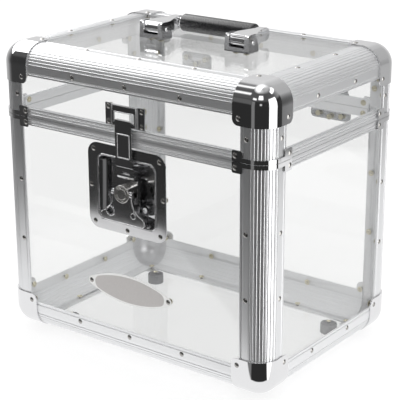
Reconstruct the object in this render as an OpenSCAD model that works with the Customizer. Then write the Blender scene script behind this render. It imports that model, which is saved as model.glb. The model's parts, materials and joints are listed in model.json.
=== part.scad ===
// Clear-panelled carrying case for twelve-inch records.
// A base box and a hinged lid of acrylic sheet, framed in fluted aluminium
// angle, with pressed corner shells, saddle clamps at the seam, a butterfly
// draw latch in a dished plate and a folding handle on the lid.
// X runs along the front, the front faces -Y, and Z = 0 is under the feet.

/* [Case] */
// Width over the aluminium frame
case_w = 388; // [380:1:400]
// Depth over the aluminium frame
case_d = 275; // [265:1:290]
// Height of the closed frame, without feet and handle
case_h = 360; // [350:1:370]
// Height of the seam between base and lid
seam_z = 275; // [270:1:280]
// Opening between the base rim and the lid rim
seam_gap = 0.5; // [0.4:0.1:0.8]

/* [Frame] */
// Length of each leg of the corner angle
leg = 35; // [33:0.5:37]
// Outside radius of the angle's rounded corner
corner_r = 24; // [22:0.5:25]
// Wall of the angle
wall = 2; // [1.6:0.1:2.4]
// Flutes round the outside of the corner
flute_count = 9; // [5:1:11]
// Height of each rim section beside the seam
rim_h = 10.25; // [10:0.05:11]

/* [Panels] */
// Thickness of the clear sheet
panel_t = 3; // [2.5:0.1:3.5]

/* [Corners] */
// Length of a corner shell along each edge
ball_leg = 45; // [43:0.5:48]
// Sheet thickness of corner shells and clamps
shell_t = 1.5; // [1.2:0.1:1.8]
// Height of a saddle clamp's ear
ear_h = 12.5; // [11:0.5:14]

/* [Latch] */
// Height of the latch spindle above the underside of the frame
latch_z = 209.5; // [205:0.5:212]
// Lift of the hook in half a turn of the wing
hook_lift = 7.5; // [6:0.5:9]

/* [Hinges] */
// Distance of each hinge from the middle of the back
hinge_x = 104; // [95:1:110]

/* [Handle] */
// Distance of each handle bracket from the middle
bracket_x = 63.4; // [60:0.2:66]
// Distance from the handle's pivot to the axis of its grip
handle_reach = 43.2; // [40:0.2:46]
// Radius of the grip
grip_r = 10.7; // [9.5:0.1:11]

/* [Feet] */
// How far the feet stand below the frame
foot_drop = 10; // [8:0.5:12]
// Radius of a foot
foot_r = 10.5; // [9:0.5:12]

/* [Hidden] */
$fn = 48;

// Half sizes of the frame
half_w = case_w / 2;
half_d = case_d / 2;

// Running clearances
running_gap = 0.05;     // radial, pin in its bore
seat_gap = 0.05;        // between a pressed part and what it sits on
end_gap = 0.2;          // between the ends of neighbouring sections

// Frame details
section_end = leg + end_gap;            // where a section stops short of a corner
flute_r = 1.3;
flute_depth = 0.5;
inner_flutes = 6;
inner_flute_depth = 0.35;
edge_groove_in = 3;                     // groove beside the free edge of a leg
panel_edge = corner_r;                  // how far a panel stops short of a corner
panel_in = wall;                        // outer face of a panel below the frame's face
panel_back = wall + panel_t;            // inner face of a panel below the frame's face

// Rim sections
rim_web = 4.75;                         // solid part over the panel's edge
rim_inner = 2;                          // thickness of the inner flange
rim_deep = panel_back + rim_inner;
groove_deep = 2.55;
groove_side = 0.6;                      // clearance beside the tongue
tongue_u = 2.9;                         // first face of the tongue
tongue_t = 1.4;
tongue_h = 2.05;
base_rim_top = seam_z - seam_gap / 2;
lid_rim_bottom = seam_z + seam_gap / 2;
base_panel_top = base_rim_top - rim_web;
lid_panel_bottom = lid_rim_bottom + rim_web;

// Rivets
rivet_r = 1.6;
rivet_hole_r = 1.7;
head_r = 3.1;
head_h = 1.2;
tail_r = 2.3;
tail_h = 1.1;
washer_r = 3.6;
washer_t = 0.5;
rivet_in = 27.5;                        // rivet line from the frame's corner
edge_rivets_x = [-78, 0, 78];
edge_rivets_y = [-39.5, 39.5];
post_rivets_z = [117, 194];
lid_post_rivet_z = 301;
ball_rivet_in = 37;
clamp_rivet_in = 41;
clamp_rivet_z = 6.75;                   // from the seam

// Latch
dish_w = 114.5;
dish_h = 104.5;
dish_t = 1.2;
dish_corner = 14;
recess_w = 84;
recess_h = 78.5;
recess_floor_w = 76;
recess_floor_h = 70.5;
recess_depth = 12;
dish_face = dish_t - panel_in;          // front of the flange, from the frame's face
track_top = -7.2;                       // raised track that carries the draw plate
track_half_w = 10;
track_low = -27;
track_high = 13;
boss_x = 18.2;
boss_low = -21.5;
dish_rivets = [[-48.5, 44.3], [48.5, 44.3], [-48.5, -44.3], [48.5, -44.3],
               [-53, 0], [53, 0], [0, 47.3], [0, -47.3]];
spindle_r = 10.9;
spindle_face = 9;
cam_offset = hook_lift / 2;
cam_r = 5.5;
cam_slack = 1.2;
shaft_r = 3.5;
wing_face = 8;
wing_t = 1.2;
wing_back = 4.7;
wing_pivot = 6.9;
wing_pin_r = 1.2;
wing_lug_r = 2.4;
wing_ear_x = 14.9;
draw_front = -4.7;
draw_back = -6.9;
draw_half_w = 13;
barrel_up = 19;                         // hook pivot above the spindle
barrel_out = -3.5;                      // hook pivot from the frame's face
barrel_r = 4.2;
hook_pin_r = 1.5;
hook_half_w = 12.2;
hook_face = 3.4;
hook_t = 1.6;
hook_top = 295 - latch_z;
hook_flange_back = 0.4;
strike_low = 286.8;
strike_high = 312;
strike_half_w = 28.5;
strike_t = 1.5;
strike_face = 1.4;
strike_window_low = 292.8;
strike_window_high = 303;
strike_window_half_w = 14.4;
strike_rivets = [[-24, 290.4], [24, 290.4], [-24, 308], [24, 308]];

// Name plate, left bare
plate_z = 87;
plate_t = 0.8;
plate_rivet_x = 58;
plate_half_w = 54;
plate_half_h = 17.5;
plate_end_r = 8;
plate_border = 2.2;
plate_sunk = 0.3;

// Hinges
hinge_out = 5.2;                        // pin axis from the back face of the frame
hinge_barrel_r = 4.1;
hinge_pin_r = 1.7;
hinge_t = 1.6;
hinge_base_w = 57;
hinge_lid_w = 47;
hinge_low = 251.8;
hinge_high = 308;
hinge_corner = 5;
hinge_base_rivets = [[-16.5, 258.2], [0, 255.8], [16.5, 258.2]];
hinge_lid_rivets = [[-15, 301], [0, 293.5], [15, 301]];
hinge_y = half_d + hinge_out;

// Handle
panel_top = case_h - panel_in;
bracket_w = 35;
bracket_top_w = 33;
bracket_h = 20.4;
bracket_front = -10;
bracket_rear = 9.5;
bracket_t = 1.8;
cheek_t = 3;
window_w = 21.6;
window_low = 5.6;
pivot_z = case_h + 9.5;
grip_z = case_h + 10.5;
arm_r = 8;
arm_root_half_w = 14;
arm_tip_in = 58;
arm_tip_out = 68;
handle_pin_r = 2;
grip_half = 53;
rod_r = 4;
collar_r = 6.5;
bracket_rivets = [-7.5, 7.5];

// Feet
foot_x = 139.5;
foot_y = 87;
foot_ribs = 18;

// ---------- placing ----------

// Lifts a piece from the frame's own height to the height over the floor
module on_feet() translate([0, 0, foot_drop]) children();

// Puts local Z along the outward normal of a face, with the origin on that face
module at_face(face, a, b) {
    if (face == "front") translate([a, -half_d, b]) rotate([90, 0, 0]) children();
    if (face == "back") translate([a, half_d, b]) rotate([-90, 0, 0]) children();
    if (face == "left") translate([-half_w, a, b]) rotate([0, -90, 0]) children();
    if (face == "right") translate([half_w, a, b]) rotate([0, 90, 0]) children();
    if (face == "top") translate([a, b, case_h]) children();
    if (face == "bottom") translate([a, b, 0]) rotate([180, 0, 0]) children();
}

// Extrudes an outline drawn in (y, z) along X, about the middle
module along_x(length) rotate([90, 0, 90]) linear_extrude(length, center = true) children();

// Extrudes an outline drawn in (x, z) along Y, about the middle
module along_y(length) rotate([90, 0, 0]) linear_extrude(length, center = true) children();

// Mirrors to the chosen side: sx, sy and sz are 1 or -1
module mirrored(sx, sy) {
    mirror([sx < 0 ? 1 : 0, 0, 0]) mirror([0, sy < 0 ? 1 : 0, 0]) children();
}

module rounded_rect(w, h, r) {
    square([w - 2 * r, h], center = true);
    square([w, h - 2 * r], center = true);
    for (sx = [-1, 1], sy = [-1, 1])
        translate([sx * (w / 2 - r), sy * (h / 2 - r)]) circle(r);
}

// ---------- rivets ----------

// Each rivet is [face, a, b, seat of the head, seat of the tail]
function face_a(face) = face == "front" || face == "back" ? half_w : half_d;

function edge_rivets(z) = [
    for (f = ["front", "back"], x = edge_rivets_x) [f, x, z, 0, -panel_back],
    for (f = ["left", "right"], y = edge_rivets_y) [f, y, z, 0, -panel_back]
];

function flat_edge_rivets(face) = [
    for (s = [-1, 1], x = edge_rivets_x) [face, x, s * (half_d - rivet_in), 0, -panel_back],
    for (s = [-1, 1], y = edge_rivets_y) [face, s * (half_w - rivet_in), y, 0, -panel_back]
];

function post_rivets(heights) = [
    for (f = ["front", "back", "left", "right"], s = [-1, 1], z = heights)
        [f, s * (face_a(f) - rivet_in), z, 0, -panel_back]
];

function ball_rivets(face, z) = concat(
    [for (f = ["front", "back", "left", "right"], s = [-1, 1])
        [f, s * (face_a(f) - ball_rivet_in), z, seat_gap + shell_t, -panel_back]],
    [for (sx = [-1, 1], sy = [-1, 1])
        [face, sx * (half_w - ball_rivet_in), sy * (half_d - ball_rivet_in),
         seat_gap + shell_t, -panel_back]]
);

function clamp_rivets(z) = [
    for (f = ["front", "back", "left", "right"], s = [-1, 1])
        [f, s * (face_a(f) - clamp_rivet_in), z, seat_gap + shell_t, -rim_deep]
];

function hinge_rivets(places) = [
    for (s = [-1, 1], p = places)
        ["back", s * hinge_x + p[0], p[1], hinge_t - panel_in, -panel_back]
];

BASE_RIVETS = concat(
    edge_rivets(rivet_in),
    flat_edge_rivets("bottom"),
    post_rivets(post_rivets_z),
    ball_rivets("bottom", ball_rivet_in),
    clamp_rivets(seam_z - clamp_rivet_z),
    hinge_rivets(hinge_base_rivets),
    [for (p = dish_rivets) ["front", p[0], latch_z + p[1], dish_face, -panel_back]],
    [for (s = [-1, 1]) ["front", s * plate_rivet_x, plate_z, plate_t - panel_in, -panel_back]]
);

LID_RIVETS = concat(
    edge_rivets(case_h - rivet_in),
    flat_edge_rivets("top"),
    post_rivets([lid_post_rivet_z]),
    ball_rivets("top", case_h - ball_rivet_in),
    clamp_rivets(seam_z + clamp_rivet_z),
    hinge_rivets(hinge_lid_rivets),
    [for (p = strike_rivets) ["front", p[0], p[1], strike_t - panel_in, -panel_back]],
    [for (s = [-1, 1], x = bracket_rivets)
        ["top", s * bracket_x + x, 0, bracket_t - panel_in, -panel_back]]
);

module dome(r, h) {
    sphere_r = (r * r + h * h) / (2 * h);
    intersection() {
        translate([0, 0, h - sphere_r]) sphere(sphere_r);
        cylinder(r = r + 1, h = h);
    }
}

// A rivet along Z, with its head on top and a washered tail below
module rivet(head_seat, tail_seat) {
    translate([0, 0, tail_seat]) cylinder(r = rivet_r, h = head_seat - tail_seat);
    translate([0, 0, head_seat]) dome(head_r, head_h);
    translate([0, 0, tail_seat - washer_t]) cylinder(r = washer_r, h = washer_t);
    translate([0, 0, tail_seat - washer_t]) mirror([0, 0, 1]) dome(tail_r, tail_h);
}

module rivet_set(rivets)
    for (v = rivets) at_face(v[0], v[1], v[2]) rivet(v[3], v[4]);

// Drills the holes of those rivets that lie on one face and within a window
module drill(rivets, face, a0, a1, b0, b1)
    for (v = rivets)
        if (v[0] == face && v[1] > a0 && v[1] < a1 && v[2] > b0 && v[2] < b1)
            at_face(face, v[1], v[2])
                translate([0, 0, -rim_deep - 1]) cylinder(r = rivet_hole_r, h = rim_deep + 4);

// ---------- frame ----------

// The angle's outline: outer faces on the two axes, both legs towards plus
module angle_outline() {
    difference() {
        union() {
            translate([corner_r, 0]) square([leg - corner_r, wall]);
            translate([0, corner_r]) square([wall, leg - corner_r]);
            translate([corner_r, corner_r]) difference() {
                intersection() {
                    circle(corner_r);
                    translate([-corner_r, -corner_r]) square(corner_r);
                }
                circle(corner_r - wall);
            }
        }
        translate([corner_r, corner_r]) {
            for (i = [1 : flute_count])
                rotate(180 + 90 * i / (flute_count + 1))
                    translate([corner_r + flute_r - flute_depth, 0]) circle(flute_r, $fn = 16);
            for (i = [1 : inner_flutes])
                rotate(180 + 90 * i / (inner_flutes + 1))
                    translate([corner_r - wall - flute_r + inner_flute_depth, 0])
                        circle(flute_r, $fn = 16);
        }
        translate([leg - edge_groove_in, flute_depth - flute_r]) circle(flute_r, $fn = 16);
        translate([flute_depth - flute_r, leg - edge_groove_in]) circle(flute_r, $fn = 16);
    }
}

// An upright angle in the corner at plus X, minus Y
module post(z0, z1)
    translate([half_w, -half_d, z0]) mirror([1, 0, 0]) linear_extrude(z1 - z0) angle_outline();

module base_post(sx, sy) {
    color("silver") on_feet() difference() {
        mirrored(sx, -sy) post(section_end, base_rim_top);
        drill_corner(BASE_RIVETS, sx, sy);
    }
}

module lid_post(sx, sy) {
    color("silver") on_feet() difference() {
        mirrored(sx, -sy) post(lid_rim_bottom, case_h - section_end);
        drill_corner(LID_RIVETS, sx, sy);
    }
}

// Holes of the rivets in the two legs of one upright
module drill_corner(rivets, sx, sy) {
    face_y = sy < 0 ? "front" : "back";
    face_x = sx < 0 ? "left" : "right";
    x = sx * (half_w - rivet_in);
    y = sy * (half_d - rivet_in);
    drill(rivets, face_y, x - 1, x + 1, section_end, case_h - section_end);
    drill(rivets, face_x, y - 1, y + 1, section_end, case_h - section_end);
}

// A level angle along the front or back edge; up is 1 at the top and -1 below
module long_angle(sy, up, rivets) {
    face = sy < 0 ? "front" : "back";
    flat = up > 0 ? "top" : "bottom";
    z = up > 0 ? case_h - rivet_in : rivet_in;
    y = sy * (half_d - rivet_in);
    reach = half_w - section_end;
    color("silver") on_feet() difference() {
        mirror([0, sy < 0 ? 0 : 1, 0]) along_x(2 * reach)
            translate([-half_d, up > 0 ? case_h : 0]) mirror([0, up > 0 ? 1 : 0]) angle_outline();
        drill(rivets, face, -reach, reach, z - 1, z + 1);
        drill(rivets, flat, -reach, reach, y - 1, y + 1);
    }
}

// A level angle along the left or right edge
module side_angle(sx, up, rivets) {
    face = sx < 0 ? "left" : "right";
    flat = up > 0 ? "top" : "bottom";
    z = up > 0 ? case_h - rivet_in : rivet_in;
    x = sx * (half_w - rivet_in);
    reach = half_d - section_end;
    color("silver") on_feet() difference() {
        mirror([sx < 0 ? 0 : 1, 0, 0]) along_y(2 * reach)
            translate([-half_w, up > 0 ? case_h : 0]) mirror([0, up > 0 ? 1 : 0]) angle_outline();
        drill(rivets, face, -reach, reach, z - 1, z + 1);
        drill(rivets, flat, x - 1, x + 1, -reach, reach);
    }
}

// ---------- rims beside the seam ----------

// Outline in (u, z), u inwards from the frame's face
module base_rim_outline() {
    low = base_rim_top - rim_h;
    difference() {
        translate([0, low]) square([rim_deep, rim_h]);
        translate([panel_in - seat_gap, low - 1])
            square([panel_t + 2 * seat_gap, base_panel_top - low + 1 + seat_gap]);
        translate([tongue_u - groove_side, base_rim_top - groove_deep])
            square([tongue_t + 2 * groove_side, groove_deep + 1]);
        for (z = [low + 2.6, low + 6]) translate([flute_depth - flute_r, z]) circle(flute_r, $fn = 16);
    }
}

module lid_rim_outline() {
    high = lid_rim_bottom + rim_h;
    difference() {
        union() {
            translate([0, lid_rim_bottom]) square([rim_deep, rim_h]);
            translate([tongue_u, lid_rim_bottom - tongue_h - seam_gap])
                square([tongue_t, tongue_h + seam_gap + 1]);
        }
        translate([panel_in - seat_gap, lid_panel_bottom - seat_gap])
            square([panel_t + 2 * seat_gap, rim_h]);
        for (z = [high - 2.6, high - 6]) translate([flute_depth - flute_r, z]) circle(flute_r, $fn = 16);
    }
}

// The four lengths of a rim, from the outline that is its child
module rim_frame() {
    for (s = [0, 1]) {
        mirror([0, s, 0]) along_x(2 * (half_w - section_end)) translate([-half_d, 0]) children();
        mirror([s, 0, 0]) along_y(2 * (half_d - section_end)) translate([-half_w, 0]) children();
    }
}

module drill_walls(rivets, z0, z1)
    for (f = ["front", "back", "left", "right"]) drill(rivets, f, -half_w, half_w, z0, z1);

module base_rim() {
    color("lightgray") on_feet() difference() {
        rim_frame() base_rim_outline();
        drill_walls(BASE_RIVETS, base_rim_top - rim_h, base_rim_top);
    }
}

module lid_rim() {
    color("lightgray") on_feet() difference() {
        rim_frame() lid_rim_outline();
        drill_walls(LID_RIVETS, lid_rim_bottom, lid_rim_bottom + rim_h);
    }
}

// ---------- panels ----------

module wall_panel(face, z0, z1, rivets) {
    reach = face_a(face) - panel_edge;
    difference() {
        at_face(face, 0, 0) translate([0, 0, -panel_back]) linear_extrude(panel_t)
            if (face == "front" || face == "back") {
                mirror([0, face == "back" ? 1 : 0]) translate([-reach, z0]) square([2 * reach, z1 - z0]);
            } else {
                mirror([face == "right" ? 1 : 0, 0]) translate([z0, -reach]) square([z1 - z0, 2 * reach]);
            }
        drill(rivets, face, -reach, reach, z0, z1);
    }
}

module level_panel(face, rivets) {
    reach_x = half_w - panel_edge;
    reach_y = half_d - panel_edge;
    difference() {
        at_face(face, 0, 0) translate([0, 0, -panel_back]) linear_extrude(panel_t)
            square([2 * reach_x, 2 * reach_y], center = true);
        drill(rivets, face, -reach_x, reach_x, -reach_y, reach_y);
    }
}

module base_panel(face)
    color("lightcyan", 0.4) on_feet() wall_panel(face, panel_edge, base_panel_top, BASE_RIVETS);

module lid_panel(face)
    color("lightcyan", 0.4) on_feet() wall_panel(face, lid_panel_bottom, case_h - panel_edge, LID_RIVETS);

// The front sheet of the base has a cut-out for the latch dish
module base_front_panel() {
    color("lightcyan", 0.4) on_feet() difference() {
        wall_panel("front", panel_edge, base_panel_top, BASE_RIVETS);
        at_face("front", 0, latch_z) translate([0, 0, -panel_back - 1])
            linear_extrude(panel_t + 2) rounded_rect(recess_w + 4.4, recess_h + 4.4, 10);
    }
}

module bottom_panel() {
    color("lightcyan", 0.4) on_feet() difference() {
        level_panel("bottom", BASE_RIVETS);
        for (sx = [-1, 1], sy = [-1, 1])
            translate([sx * foot_x, sy * foot_y, 0]) cylinder(r = rivet_hole_r, h = panel_back + 1);
    }
}

module top_panel() color("lightcyan", 0.4) on_feet() level_panel("top", LID_RIVETS);

// ---------- corner shells and clamps ----------

// A pressed shell over the corner at the origin, legs towards plus
module corner_shell() {
    r_in = corner_r + seat_gap;
    r_out = r_in + shell_t;
    flat = ball_leg - corner_r;
    free_r = 7.5;
    translate([corner_r, corner_r, corner_r]) {
        // the ball itself: one eighth of a hollow sphere
        rotate([0, 0, 180]) mirror([0, 0, 1]) rotate_extrude(angle = 90)
            intersection() {
                difference() {
                    circle(r_out);
                    circle(r_in);
                }
                square(r_out);
            }
        for (turn = [[0, 0, 0], [0, -90, -90], [90, 0, 90]]) rotate(turn) {
            // rolled edge along one direction
            linear_extrude(flat) rotate(180) intersection() {
                difference() {
                    circle(r_out);
                    circle(r_in);
                }
                square(r_out);
            }
            // flat face beside it
            translate([0, 0, -r_out]) linear_extrude(shell_t) difference() {
                square(flat);
                translate([flat - free_r, flat - free_r]) difference() {
                    square(free_r + 1);
                    circle(free_r);
                }
                translate([ball_rivet_in - corner_r, ball_rivet_in - corner_r]) circle(rivet_hole_r);
            }
        }
    }
}

module bottom_corner(sx, sy)
    color("gainsboro") on_feet() translate([sx * half_w, sy * half_d, 0])
        mirror([sx > 0 ? 1 : 0, 0, 0]) mirror([0, sy > 0 ? 1 : 0, 0]) corner_shell();

module top_corner(sx, sy)
    color("gainsboro") on_feet() translate([sx * half_w, sy * half_d, case_h])
        mirror([sx > 0 ? 1 : 0, 0, 0]) mirror([0, sy > 0 ? 1 : 0, 0]) mirror([0, 0, 1]) corner_shell();

// A saddle clamp over the corner at the origin, its long edge at z = 0, growing up
module saddle_clamp() {
    r_in = corner_r + seat_gap;
    ring_h = 5;
    ear_start = 31.3;
    ear_end = ball_leg;
    translate([corner_r, corner_r, 0]) linear_extrude(ring_h) rotate(180) intersection() {
        difference() {
            circle(r_in + shell_t);
            circle(r_in);
        }
        square(r_in + shell_t);
    }
    for (swap = [0, 1])
        mirror([swap, -swap, 0]) translate([0, -seat_gap, 0]) rotate([90, 0, 0])
            linear_extrude(shell_t) difference() {
                union() {
                    translate([corner_r, 0]) square([ear_start - corner_r + 1, ring_h]);
                    translate([(ear_start + ear_end) / 2, ear_h / 2])
                        rounded_rect(ear_end - ear_start, ear_h, 2);
                }
                translate([clamp_rivet_in, clamp_rivet_z - seam_gap / 2]) circle(rivet_hole_r);
            }
}

module clamp_ring(z, up) {
    for (sx = [-1, 1], sy = [-1, 1])
        translate([sx * half_w, sy * half_d, z])
            mirror([sx > 0 ? 1 : 0, 0, 0]) mirror([0, sy > 0 ? 1 : 0, 0])
                mirror([0, 0, up > 0 ? 0 : 1]) saddle_clamp();
}

module base_clamps() color("gainsboro") on_feet() clamp_ring(base_rim_top, -1);
module lid_clamps() color("gainsboro") on_feet() clamp_ring(lid_rim_bottom, 1);

// ---------- feet, rivets and plate ----------

// A ribbed rubber foot with a countersunk well for its rivet
module feet() {
    height = foot_drop + panel_in;
    color("dimgray") for (sx = [-1, 1], sy = [-1, 1])
        translate([sx * foot_x, sy * foot_y, 0]) difference() {
            linear_extrude(height) difference() {
                circle(foot_r);
                for (i = [0 : foot_ribs - 1])
                    rotate(360 * i / foot_ribs) translate([foot_r + 0.5, 0]) circle(1.1, $fn = 16);
            }
            translate([0, 0, -1]) cylinder(r = 4.5, h = height - 3);
            cylinder(r = rivet_hole_r, h = height + 1);
        }
}

// Rivets through the feet, with the heads inside on the bottom sheet
module foot_rivets()
    for (sx = [-1, 1], sy = [-1, 1])
        translate([sx * foot_x, sy * foot_y, 0]) rivet(panel_back, panel_in - 4);

module base_rivets() color("silver") on_feet() {
    rivet_set(BASE_RIVETS);
    foot_rivets();
}

module lid_rivets() color("silver") on_feet() rivet_set(LID_RIVETS);

// A bare oval plate: two long arcs, two round ends and an ear at each rivet.
// The long arcs meet the round ends where both have the same tangent
module plate_oval(inset) {
    end_x = plate_half_w - plate_end_r;
    long_r = (end_x * end_x + plate_half_h * plate_half_h - plate_end_r * plate_end_r)
        / (2 * (plate_half_h - plate_end_r));
    meet_x = end_x * (1 + (plate_end_r - inset) / (long_r - plate_end_r));
    intersection() {
        translate([0, plate_half_h - long_r]) circle(long_r - inset, $fn = 180);
        translate([0, long_r - plate_half_h]) circle(long_r - inset, $fn = 180);
        square([2 * meet_x, 4 * plate_half_h], center = true);
    }
    for (s = [-1, 1]) translate([s * end_x, 0]) circle(plate_end_r - inset);
}

module plate_outline() {
    end_x = plate_half_w - plate_end_r;
    ear = 4.6;
    plate_oval(0);
    for (s = [-1, 1]) mirror([s < 0 ? 1 : 0, 0]) {
        translate([plate_rivet_x, 0]) circle(ear);
        polygon([[end_x, -plate_end_r + 0.4], [plate_rivet_x, -ear],
                 [plate_rivet_x, ear], [end_x, plate_end_r - 0.4]]);
    }
}

module name_plate() {
    color("darkgray") on_feet() at_face("front", 0, plate_z) translate([0, 0, -panel_in])
        difference() {
            linear_extrude(plate_t) plate_outline();
            translate([0, 0, plate_t - plate_sunk]) linear_extrude(plate_t) plate_oval(plate_border);
            for (s = [-1, 1]) translate([s * plate_rivet_x, 0, -1]) cylinder(r = rivet_hole_r, h = 3);
        }
}

// ---------- latch ----------

// Local X is along the front, local Y is up and local Z is out of the front face
module at_latch() on_feet() at_face("front", 0, latch_z) children();

module latch_dish() {
    bead = 2;
    bead_h = 0.5;
    color("slategray") at_latch() difference() {
        union() {
            difference() {
                union() {
                    translate([0, 0, -panel_in]) linear_extrude(dish_t)
                        rounded_rect(dish_w, dish_h, dish_corner);
                    translate([0, 0, -panel_in]) linear_extrude(dish_t + bead_h)
                        rounded_rect(recess_w + 2 * bead, recess_h + 2 * bead, 10);
                    hull() {
                        translate([0, 0, -panel_in]) linear_extrude(0.1)
                            rounded_rect(recess_w + 2 * dish_t, recess_h + 2 * dish_t, 9, $fn = 32);
                        translate([0, 0, dish_face - recess_depth - dish_t]) linear_extrude(0.1)
                            rounded_rect(recess_floor_w + 2 * dish_t,
                                         recess_floor_h + 2 * dish_t, 7, $fn = 32);
                    }
                }
                hull() {
                    translate([0, 0, dish_face + bead_h]) linear_extrude(0.2)
                        rounded_rect(recess_w, recess_h, 8, $fn = 32);
                    translate([0, 0, dish_face - recess_depth]) linear_extrude(0.1)
                        rounded_rect(recess_floor_w, recess_floor_h, 6, $fn = 32);
                }
            }
            // raised track under the draw plate
            translate([-track_half_w, track_low, dish_face - recess_depth - dish_t])
                cube([2 * track_half_w, track_high - track_low,
                      track_top - dish_face + recess_depth + dish_t]);
            for (s = [-1, 1]) translate([s * boss_x, boss_low, dish_face - recess_depth - 0.5])
                cylinder(r = 6.2, h = 2.2);
        }
        translate([dish_t - track_half_w, track_low + dish_t, dish_face - recess_depth - dish_t - 1])
            cube([2 * (track_half_w - dish_t), track_high - track_low - 2 * dish_t,
                  track_top - dish_face + recess_depth + 1]);
        translate([0, 0, track_top - 4]) cylinder(r = shaft_r + running_gap, h = 8);
        for (s = [-1, 1]) translate([s * boss_x, boss_low, dish_face - recess_depth - 4])
            cylinder(r = 3.2, h = 8);
        for (p = dish_rivets) translate([p[0], p[1], -4]) cylinder(r = rivet_hole_r, h = 8);
    }
}

// The turning hub: a round head, the cam behind it and a shaft through the track
module latch_spindle() {
    shaft_end = track_top - dish_t - 2;
    color("gainsboro") at_latch() difference() {
        union() {
            translate([0, 0, draw_front + 0.3]) cylinder(r = spindle_r, h = spindle_face - draw_front - 1.3);
            translate([0, 0, spindle_face - 1]) cylinder(r1 = spindle_r, r2 = spindle_r - 1, h = 1);
            translate([0, -cam_offset, draw_back - 0.2]) cylinder(r = cam_r, h = draw_front - draw_back + 1);
            translate([0, 0, shaft_end]) cylinder(r = shaft_r, h = draw_back - 0.2 - shaft_end);
            translate([0, 0, shaft_end]) cylinder(r = shaft_r + 1, h = 0.8);
        }
        translate([0, 0, spindle_face - 0.6]) difference() {
            cylinder(r = 8, h = 2);
            translate([0, 0, -1]) cylinder(r = 6.6, h = 4);
        }
        translate([0, 0, wing_pivot]) rotate([0, 90, 0])
            cylinder(r = wing_pin_r + running_gap, h = 4 * spindle_r, center = true);
    }
}

module spindle_washer() {
    color("silver") at_latch() translate([0, 0, track_top - dish_t - 1.2]) difference() {
        cylinder(r = 6, h = 1);
        translate([0, 0, -1]) cylinder(r = shaft_r + running_gap, h = 3);
    }
}

// The wing's outline, drawn in by inset on every side: a stem with waisted
// flanks that flow into two round lower corners
module wing_outline(inset) {
    corner = 6.5;
    corner_x = 26.5;
    corner_low = -30;
    waist_x = 36.5;
    waist_low = -3.3;
    waist = 22;
    top = 4.4;
    across = [waist_x - corner_x, waist_low - corner_low];
    touch = corner / (corner + waist);
    stem = waist_x - waist - inset;
    difference() {
        union() {
            polygon([
                [-stem, top - inset], [stem, top - inset], [stem, waist_low],
                [corner_x + touch * across[0], corner_low + touch * across[1]],
                [corner_x, corner_low], [corner_x, corner_low - corner + inset],
                [-corner_x, corner_low - corner + inset], [-corner_x, corner_low],
                [-corner_x - touch * across[0], corner_low + touch * across[1]],
                [-stem, waist_low]
            ]);
            for (s = [-1, 1]) translate([s * corner_x, corner_low]) circle(corner - inset);
        }
        for (s = [-1, 1]) translate([s * waist_x, waist_low]) circle(waist + inset, $fn = 96);
    }
}

module latch_wing() {
    notch_r = spindle_r + 0.7;
    eye_big = [-17.4, -23.3];
    eye_small = [16.4, -23.3];
    color("slategray") at_latch() difference() {
        union() {
            difference() {
                translate([0, 0, wing_back]) linear_extrude(wing_face - wing_back) wing_outline(0);
                translate([0, 0, wing_back - 1]) linear_extrude(wing_face - wing_back - wing_t + 1)
                    wing_outline(wing_t);
            }
            translate([eye_big[0], eye_big[1], wing_face - wing_t]) cylinder(r = 6.6, h = wing_t + 0.6);
            translate([eye_small[0], eye_small[1], wing_face - wing_t]) cylinder(r = 4.2, h = wing_t + 0.5);
            for (s = [-1, 1]) translate([s * (notch_r + wing_ear_x) / 2, 0, wing_pivot]) rotate([0, 90, 0])
                cylinder(r = wing_lug_r, h = wing_ear_x - notch_r + 0.4, center = true);
        }
        translate([0, 0, -1]) cylinder(r = notch_r, h = 20);
        translate([-notch_r, 0, -1]) cube([2 * notch_r, 10, 20]);
        translate([eye_big[0], eye_big[1], 0]) cylinder(r = 5, h = 20);
        translate([eye_small[0], eye_small[1], 0]) cylinder(r = 2.7, h = 20);
        translate([0, 0, wing_pivot]) rotate([0, 90, 0])
            cylinder(r = wing_pin_r + running_gap, h = 4 * spindle_r, center = true);
    }
}

module wing_pin() {
    color("silver") at_latch() translate([0, 0, wing_pivot]) rotate([0, 90, 0])
        cylinder(r = wing_pin_r, h = 2 * wing_ear_x + 0.8, center = true);
}

// The plate that the cam lifts, with the hook's knuckle at its upper end
module draw_plate() {
    low = -14;
    high = 14.2;
    knuckle = 5.6;
    slot_w = 2 * (cam_r + cam_offset) + 1;
    slot_h = 2 * (cam_r + cam_slack);
    t = draw_front - draw_back;
    color("slategray") at_latch() difference() {
        union() {
            translate([0, (low + high) / 2, draw_back]) linear_extrude(t)
                rounded_rect(2 * draw_half_w, high - low, 3);
            translate([-knuckle, high - 4, draw_back]) cube([2 * knuckle, barrel_up - high + 4, t]);
            translate([0, barrel_up, barrel_out]) rotate([0, 90, 0])
                cylinder(r = barrel_r, h = 2 * knuckle, center = true);
        }
        translate([0, -cam_offset, draw_back - 1]) linear_extrude(t + 2) rounded_rect(slot_w, slot_h, 3);
        translate([0, barrel_up, barrel_out]) rotate([0, 90, 0])
            cylinder(r = hook_pin_r + running_gap, h = 40, center = true);
    }
}

module hook_pin() {
    color("silver") at_latch() translate([0, barrel_up, barrel_out]) rotate([0, 90, 0]) {
        cylinder(r = hook_pin_r, h = 2 * hook_half_w, center = true);
        for (s = [0, 1]) mirror([0, 0, s]) translate([0, 0, hook_half_w]) cylinder(r = 2.4, h = 0.8);
    }
}

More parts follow.
